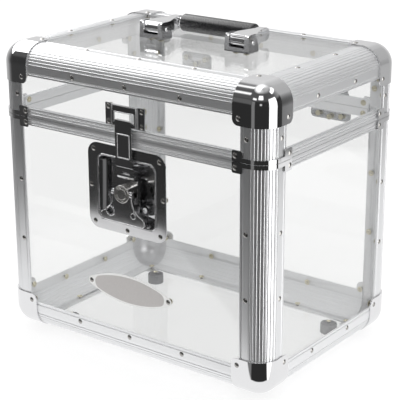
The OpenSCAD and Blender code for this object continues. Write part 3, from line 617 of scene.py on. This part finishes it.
def inset_front(shape, y, width, sink):
    """Insets the faces that look forward at y, and sinks them."""
    shape.normal_update()
    front = [
        face
        for face in shape.faces
        if face.normal.y < -0.999 and abs(face.calc_center_median().y - y) < same_depth
    ]
    bmesh.ops.inset_region(
        shape,
        faces=front,
        thickness=width,
        depth=-sink,
        use_boundary=True,
        use_even_offset=True,
    )


def length(run):
    return sum((a - b).length for a, b in zip(run, run[1:]))


def outlines(shape, y):
    """Closed runs of sharp edges that lie at y, the longest first."""
    shape.normal_update()
    left = [e for e in shape.edges if lies_at(e, y) and fold(e) > radians(20)]
    runs = []
    while left:
        edge = left.pop(0)
        tip = edge.verts[1]
        run = [edge.verts[0].co.copy(), tip.co.copy()]
        while following := [e for e in tip.link_edges if e in left]:
            left.remove(following[0])
            tip = following[0].other_vert(tip)
            run.append(tip.co.copy())
        if (run[0] - run[-1]).length < 0.0001:
            runs.append(run[:-1])
    return sorted(runs, key=length, reverse=True)


print("edges lie on one front within", same_depth)

# %% Beads
def add_bead(shape, run, radius, back=0.0, closed=True):
    """Sweeps a round tube along the run, moved back by back, and adds it to the shape."""
    curve = bpy.data.curves.new("bead", "CURVE")
    curve.dimensions = "3D"
    curve.bevel_depth = radius
    curve.bevel_resolution = 3
    line = curve.splines.new("POLY")
    line.points.add(len(run) - 1)
    for point, place in zip(line.points, run):
        point.co = (place.x, place.y + back, place.z, 1)
    line.use_cyclic_u = closed
    curve.use_fill_caps = not closed
    holder = bpy.data.objects.new("bead", curve)
    tube = bpy.data.meshes.new_from_object(holder)
    shape.from_mesh(tube)
    bpy.data.objects.remove(holder)
    bpy.data.meshes.remove(tube)
    bpy.data.curves.remove(curve)


def arc(centre, radius, start, end, steps=16):
    """Points from one angle to another, in degrees, both ends with them."""
    turns = [radians(start + (end - start) * i / steps) for i in range(steps + 1)]
    return [(centre[0] + radius * cos(t), centre[1] + radius * sin(t)) for t in turns]


hub_height = round(middle("latch_spindle", 2), 6)


def round_hub(points, y):
    """Points in millimetres from the middle of the hub, brought to their place at y."""
    return [Vector((x / 1000, y, hub_height + z / 1000)) for x, z in points]


def add_ring(shape, centre, radius, y, thick, steps):
    add_bead(shape, round_hub(arc(centre, radius, 0, 360, steps)[1:], y), thick)


print("hub at height", hub_height)

# %% [markdown]
# ### Wing
# The wing's bead follows a wide foot with round corners and a waist that
# narrows to the hub. It passes outside the large eye, whose boss overlaps the
# edge, so its line is drawn from the sizes of the wing, one half of it and then
# its mirror image. Each eye has a ring of its own.

# %% Wing
inset = 0.8
foot_x, foot_z, foot_radius = 26.5, -30, 6.5
waist_x, waist_z, waist_radius = 36.5, -3.3, 22
neck_x, neck_z = 14.5, 4.4
foot_meets_waist = 69.5
wing_face = -0.14555
eye_height = -23.3

half = [(0, foot_z - foot_radius + inset)]
half += arc((foot_x, foot_z), foot_radius - inset, -90, foot_meets_waist)
half += arc((waist_x, waist_z), waist_radius + inset, foot_meets_waist + 180, 180)
half += [(neck_x - inset, neck_z - inset)]
wing_line = [(-x, z) for x, z in reversed(half[1:])] + half

wing = welded("latch_wing")
count = round_edges(wing, 0.0003, 2, pick=lambda e: all(v.co.y < wing_face for v in e.verts))
add_bead(wing, round_hub(wing_line, -0.1452), 0.0008, closed=False)
add_ring(wing, (-17.4, eye_height), 5.7, -0.1458, 0.0008, 40)
add_ring(wing, (16.4, eye_height), 3.4, -0.1457, 0.0007, 32)
dressed("latch_wing", wing, latch_metal)
print("points on the wing's bead:", len(wing_line), "edges rounded:", count)

# %% [markdown]
# ### Hook and strike plate
# The hook's arm steps out of the dish in a short bend. The press makes it
# steeper than the drawing does, so the bend's lower corners move up. Both the
# hook and the strike plate then get their front face sunk a little inside a
# bead that runs along its edge, and the strike plate's window gets one too.

# %% Hook and strike plate
bead, sunk = 0.0007, 0.0003
bend_low, bend_high, bend_front = 0.2444, 0.2449, -0.1365
steeper = 0.0045

hook = welded("latch_hook")
bend = [v for v in hook.verts if bend_low < v.co.z < bend_high and v.co.y < bend_front]
bmesh.ops.translate(hook, verts=bend, vec=(0, 0, steeper))
hook_front = front_of("latch_hook")
hook_field = round(hook_front + sunk, 6)
inset_front(hook, hook_front, 0.0006, sunk)
hook_lines = outlines(hook, hook_field)
count = round_edges(
    hook, 0.0004, 3, pick=lambda e: not lies_at(e, hook_field) and not lies_at(e, hook_front)
)
add_bead(hook, hook_lines[0], bead)
dressed("latch_hook", hook, latch_metal)
print("hook outlines:", [len(run) for run in hook_lines], "edges rounded:", count)

strike = welded("strike_plate")
strike_front = front_of("strike_plate")
inset_front(strike, strike_front, 0.0007, sunk)
strike_lines = outlines(strike, round(strike_front + sunk, 6))
for run in strike_lines[:2]:
    add_bead(strike, run, bead)
dressed("strike_plate", strike, dish_metal)
print("strike outlines:", [len(run) for run in strike_lines])

# %% [markdown]
# ### Spindle, draw plate and dish
# The spindle's end is turned with two raised rings. The draw plate is plain
# sheet with soft edges. The dish is pressed deep, and a heavy bead runs round
# the mouth of its recess. Of its two longest outlines, the mouth is the one
# that reaches less far to the side, and the other is the flange's edge.

# %% Spindle, draw plate and dish
ring_depth = -0.1458
spindle = welded("latch_spindle")
count = round_edges(spindle, 0.0008, 4, pick=lambda e: all(v.co.y < ring_depth for v in e.verts))
add_ring(spindle, (0, 0), 9.9, ring_depth, 0.0009, 48)
add_ring(spindle, (0, 0), 6.2, ring_depth, 0.0008, 36)
dressed("latch_spindle", spindle, hub_metal)

draw = welded("draw_plate")
count += round_edges(draw, 0.0003, 2)
dressed("draw_plate", draw, latch_metal)

dish = welded("latch_dish")
dish_lines = outlines(dish, front_of("latch_dish"))
mouth = min(dish_lines[:2], key=lambda run: max(v.x for v in run))
add_bead(dish, mouth, 0.0011, back=0.0005)
dressed("latch_dish", dish, dish_metal)
print("dish outlines:", [len(run) for run in dish_lines], "edges rounded:", count)

# %% [markdown]
# ## The plate's shape
# The plate is stamped from sheet as an oval of two long arcs and two round
# ends. Its field has rounder ends than the plate, so the pale border is wide at
# the rivets. An outline extruded to the thickness of the sheet and bevelled
# along its front edge gives both, and the field is the second, smaller oval.

# %% Plate and field
def oval(half_w, half_h, end_r, steps=40):
    """Points of an oval: a long arc on each side and a round end of radius end_r."""
    end_x = half_w - end_r
    long_r = (end_x**2 + half_h**2 - end_r**2) / (2 * (half_h - end_r))
    meet = atan2(long_r - half_h, end_x)
    quarter = []
    for i in range(steps + 1):
        turn = pi / 2 - (pi / 2 - meet) * i / steps
        quarter.append((long_r * cos(turn), half_h - long_r + long_r * sin(turn)))
    for i in range(1, steps // 2 + 1):
        turn = meet * (1 - i / (steps // 2))
        quarter.append((end_x + end_r * cos(turn), end_r * sin(turn)))
    right = quarter + [(x, -z) for x, z in reversed(quarter[:-1])]
    return right + [(-x, z) for x, z in reversed(right[1:-1])]


plate_height = round(middle("name_plate", 2), 6)


def stamp(shape, half_w, half_h, end_r, back, front, soft):
    """Adds an oval sheet from back to front, with its front edge softened."""
    points = oval(half_w, half_h, end_r)
    blank = [shape.faces.new([shape.verts.new((x, back, plate_height + z)) for x, z in points])]
    pressed = bmesh.ops.extrude_face_region(shape, geom=blank)["geom"]
    moved = [v for v in pressed if isinstance(v, bmesh.types.BMVert)]
    bmesh.ops.translate(shape, verts=moved, vec=(0, front - back, 0))
    rim = [e for e in shape.edges if all(abs(v.co.y - front) < 1e-6 for v in e.verts)]
    bmesh.ops.bevel(
        shape, geom=rim, affect="EDGES", offset=soft, segments=2, profile=0.5, material=-1
    )


plate_back = front_of("base_front_panel") - 0.00001
field_back, field_front = plate_front + 0.0002, plate_front - 0.00008
plate = bmesh.new()
stamp(plate, 0.0626, 0.0183, 0.005, plate_back, plate_front, 0.0002)
stamp(plate, 0.0524, 0.0159, 0.0085, field_back, field_front, 0.00004)
bmesh.ops.recalc_face_normals(plate, faces=plate.faces)
print("plate closed:", all(e.is_manifold for e in plate.edges), "faces:", len(plate.faces))
dressed("name_plate", plate, plate_metal)

# %% [markdown]
# ## The studio
# The case stands near the front edge of a white table. Bright metal shows the
# room itself, so the room matters more than the lamps. It is described here by
# three rings, at eye height, halfway up and under the ceiling: how bright the
# room is in each compass direction. In front of the table the room is dark,
# and that is what makes the latch and the corners look dark. The soft lamps
# are boxes in the same map. They are brighter than white, so that satin metal,
# which blurs them, still turns pale.

# %% Rings and lamps
# direction in degrees from the front of the case towards its right side, brightness
eye_ring = [
    (-180, 0.7), (-125, 0.8), (-100, 0.5), (-60, 0.06), (-36, 0.03),
    (60, 0.03), (118, 0.03), (143, 0.05), (150, 0.5), (180, 0.6),
]
half_ring = [
    (-180, 0.6), (-168, 0.65), (-150, 0.85), (-122, 0.8), (-110, 0.3), (-60, 0.11),
    (60, 0.09), (110, 0.12), (140, 0.35), (150, 0.5), (180, 0.55),
]
top_ring = [
    (-180, 1.2), (-150, 1.8), (-10, 1.8), (20, 0.8), (60, 0.5), (150, 0.6), (180, 1.2),
]
# direction from, to, height from, to, softness of the border, brightness
lamps = [
    (70, 110, -40, 31, 3, 2.4),
    (14, 40, 31, 50, 3, 2.0),
    (-17, 3, 27, 34, 3, 1.8),
    (24, 33, 4, 11, 3, 1.0),
    (107, 158, 48, 58, 4, 3.0),
    (-54, -44, 38, 45, 3, 1.6),
    (-94, -77, 54, 62, 4, 1.6),
    (-17, -1, -40, 19, 2, 0.22),
    (-40, -17, 3, 21, 3, 0.13),
]
readings = len(eye_ring) + len(half_ring) + len(top_ring)
print("readings of the room:", readings, "lamps:", len(lamps))

# %% [markdown]
# ### The room as a map
# A ColorRamp holds one ring, from the back round the front to the back again.
# Between the heights of the rings the brightness fades from one to the next,
# and each lamp then covers its own part of the map.

# %% Brightness in any direction
# heights in degrees over which one ring fades into the next
eye_to_half, half_to_top = (18, 26), (58, 72)


def compass(x, y):
    """Degrees from the front of the case, towards its right side."""
    return x.maths("ARCTAN2", x, 0.0 - y) * (180 / pi)


def ring(azimuth, brightness):
    stops = [(angle / 360 + 0.5, value) for angle, value in brightness]
    return azimuth.node("ShaderNodeValToRGB", {"stops": stops}, Fac=azimuth * (1 / 360) + 0.5)


def fade(value, low, high):
    """0 below low and 1 above high, for a signal or a plain number."""
    part = (value - low) * (1 / (high - low))
    if isinstance(part, Signal):
        return part.larger(0.0).smaller(1.0)
    return min(max(part, 0.0), 1.0)


def within(value, low, high, soft):
    return fade(value, low - soft, low + soft) - fade(value, high - soft, high + soft)


def room_brightness(azimuth, elevation):
    low, half, top = (ring(azimuth, r) for r in (eye_ring, half_ring, top_ring))
    room = low + (half - low) * fade(elevation, *eye_to_half)
    room = room + (top - room) * fade(elevation, *half_to_top)
    for a0, a1, e0, e1, soft, strength in lamps:
        lit = within(azimuth, a0, a1, soft) * within(elevation, e0, e1, soft)
        room = room + (strength - room) * lit
    return room


print("the first lamp's light at its own border:", within(70.0, 70, 110, 3))

# %% [markdown]
# ### The table
# For the camera the table is the white page behind a catalogue picture, with a
# little of the real table left in it, so the case keeps its soft shadow. For a
# reflection the table ends at its edges, and the room begins.

# %% White table with a dark room in front of it
view_azimuth, view_elevation, view_roll = radians(36.848), radians(19.024), radians(-0.209)
# where each edge of the table lies, and over how many metres it fades
table_cut, cut_soft = 0.262, 0.008
table_front, front_soft = -0.515, 0.02
table_far, far_soft = 0.97, 0.05
table_left, left_soft = 0.36, 0.25
slant = 0.707
looking_down = -15.0
near_corner = Vector((0.17, -0.11))
paper_share, paper_white = 0.5, 1.3


def table_edges(x, y):
    """0 on the table and 1 past its cut corner, its front, its far end or its left end."""
    ahead = x * sin(view_azimuth) + y * -cos(view_azimuth)
    outside = fade(ahead, table_cut, table_cut + cut_soft)
    outside = outside.larger(fade(0.0 - y, -table_front, -table_front + front_soft))
    outside = outside.larger(fade(x * slant + y * slant, table_far, table_far + far_soft))
    return outside.larger(fade(0.0 - x, table_left, table_left + left_soft) * 0.9)


def table_finish():
    made, start = new_material("studio_table")
    x, y = place_on_case(start).axes()[:2]
    room = room_brightness(compass(x - near_corner.x, y - near_corner.y), looking_down)
    floor = table_edges(x, y).mix(grey(1.0), room)
    mirrored = start.node("ShaderNodeEmission", Color=floor, Strength=1.0)
    board = start.node("ShaderNodeBsdfDiffuse", Color=grey(0.9))
    paper = start.node("ShaderNodeEmission", Color=grey(1.0), Strength=paper_white)
    seen = choose(start, asked_by(start, "Is Camera Ray") * paper_share, board, paper)
    show(start, choose(start, asked_by(start, "Is Glossy Ray"), seen, mirrored))
    return made


def studio_table():
    shape = bmesh.new()
    bmesh.ops.create_grid(shape, x_segments=1, y_segments=1, size=6.0)
    piece = piece_from("studio_table", shape, table_finish())
    return piece


studio_table()
print("the table's front edge is at y =", table_front)

# %% [markdown]
# ### The screen
# A white screen hangs up on the left, so that the top of the case mirrors
# something broad and bright. It is a plain sheet that only mirror-like rays
# see, so it neither lights the matt pieces nor shows in the picture.

# %% Screen up on the left
screen_place, screen_half, screen_light = (-1.2, 0.15, 1.43), (0.58, 0.86), 4.0


def soft_box():
    made, start = new_material("soft_box")
    clear = start.node("ShaderNodeBsdfTransparent", Color=grey(1.0))
    lit = start.node("ShaderNodeEmission", Color=grey(1.0), Strength=screen_light)
    show(start, choose(start, asked_by(start, "Is Glossy Ray"), clear, lit))
    turn = Matrix.Translation(screen_place) @ Matrix.Rotation(radians(90), 4, "Y")
    stretch = Matrix.Diagonal((*screen_half, 1, 1))
    shape = bmesh.new()
    bmesh.ops.create_grid(shape, x_segments=1, y_segments=1, size=1.0, matrix=turn @ stretch)
    piece = piece_from("soft_box", shape, made)
    return piece


soft_box()
print("the screen is at", screen_place)

# %% [markdown]
# ### The light
# Matt surfaces are lit by an even white room, so their colours come out as
# they were written. Only mirror-like rays see the map of the room.

# %% Room light
def room_light():
    world = bpy.data.worlds.new("white_room")
    world.use_nodes = True
    world.node_tree.nodes.clear()
    start = Signal(world.node_tree)
    x, y, z = start.node("ShaderNodeTexCoord", out="Generated").axes()
    elevation = start.maths("ARCSINE", z) * (180 / pi)
    plain = start.node("ShaderNodeBackground", Color=grey(1.0), Strength=1.0)
    room = room_brightness(compass(x, y), elevation)
    shaped = start.node("ShaderNodeBackground", Color=room, Strength=1.0)
    shader = choose(start, asked_by(start, "Is Glossy Ray"), plain, shaped)
    show(start, shader, "ShaderNodeOutputWorld")
    bpy.context.scene.world = world


room_light()
bpy.context.scene.view_settings.view_transform = "Standard"
print("room lit")

# %% [markdown]
# ## The camera
# The camera stands where the photographer stood. Its place, its angle and its
# lens were worked out from the straight edges of the case.

# %% Camera
aim, distance, focal_length = Vector((0.0025, 0, 0.1725)), 1.6625, 121.42


def place_camera():
    back = Vector((
        sin(view_azimuth) * cos(view_elevation),
        -cos(view_azimuth) * cos(view_elevation),
        sin(view_elevation),
    ))
    level = Vector((cos(view_azimuth), sin(view_azimuth), 0))
    upright = back.cross(level)
    right = level * cos(view_roll) + upright * sin(view_roll)
    up = upright * cos(view_roll) - level * sin(view_roll)
    spot = aim + back * distance
    lens = bpy.data.cameras.new("camera")
    lens.sensor_width = 36.0
    lens.lens = focal_length
    lens.clip_end = 30
    camera = bpy.data.objects.new("camera", lens)
    bpy.context.collection.objects.link(camera)
    camera.matrix_world = Matrix((
        (right.x, up.x, back.x, spot.x),
        (right.y, up.y, back.y, spot.y),
        (right.z, up.z, back.z, spot.z),
        (0, 0, 0, 1),
    ))
    bpy.context.scene.camera = camera
    return camera


camera = place_camera()
print("camera at", tuple(round(v, 3) for v in camera.location))
